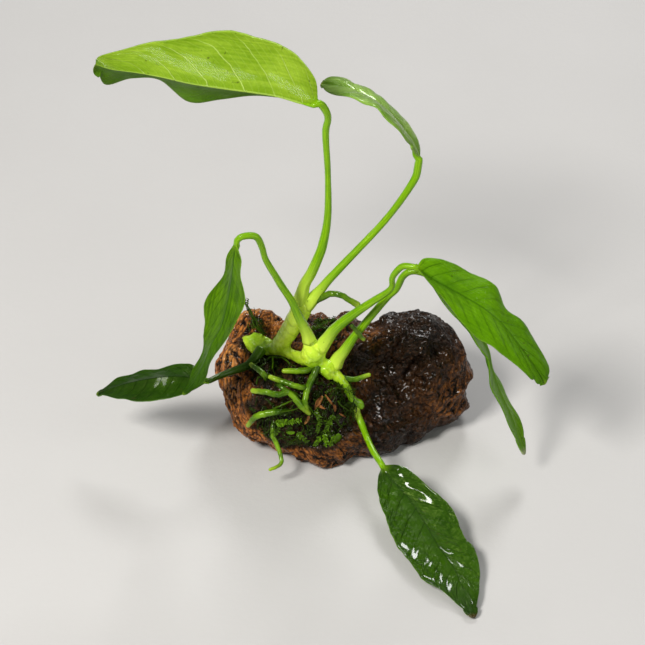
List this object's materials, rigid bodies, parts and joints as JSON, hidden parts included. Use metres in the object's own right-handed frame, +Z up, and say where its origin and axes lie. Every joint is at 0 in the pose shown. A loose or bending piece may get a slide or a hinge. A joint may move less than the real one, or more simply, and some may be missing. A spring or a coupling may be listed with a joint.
{
  "type": "anubias on driftwood",
  "caption": "Aquarium plant with a creeping rhizome, long stalks and lance-shaped leaves, growing on a rugged lump of driftwood that stands on a flat foot",
  "frame": {"origin": "on the flat foot of the driftwood, in the plane that it rests on", "axes": "+Z up, -Y towards the side that the main leaf stalks and the low front leaf face, +X to the right as seen from there"},
  "size_m": [0.2093, 0.1839, 0.1974],
  "materials": {
    "driftwood": "satin",
    "rhizome": "satin",
    "stalk": "satin",
    "leaf": "gloss",
    "root": "satin",
    "moss": "matte"
  },
  "bodies": {
    "root": {"driftwood": "driftwood", "rhizome": "rhizome", "stalk_tall": "stalk", "stalk_leaning": "stalk", "stalk_left": "stalk", "stalk_right_upper": "stalk", "stalk_right_lower": "stalk", "stalk_front": "stalk", "stalk_back_left": "stalk", "leaf_tall": "leaf", "leaf_leaning": "leaf", "leaf_left": "leaf", "leaf_right_upper": "leaf", "leaf_right_lower": "leaf", "leaf_front": "leaf", "leaf_back_left": "leaf", "root_aerial": "root", "root_crossing": "root", "root_front_long": "root", "root_front_short": "root", "root_front_slanting": "root", "root_left_upper": "root", "root_left_middle": "root", "root_left_lower": "root", "root_left_lowest": "root", "root_hanging": "root", "root_right": "root", "moss_front": "moss", "moss_middle": "moss", "moss_left": "moss"}
  },
  "joints": []
}
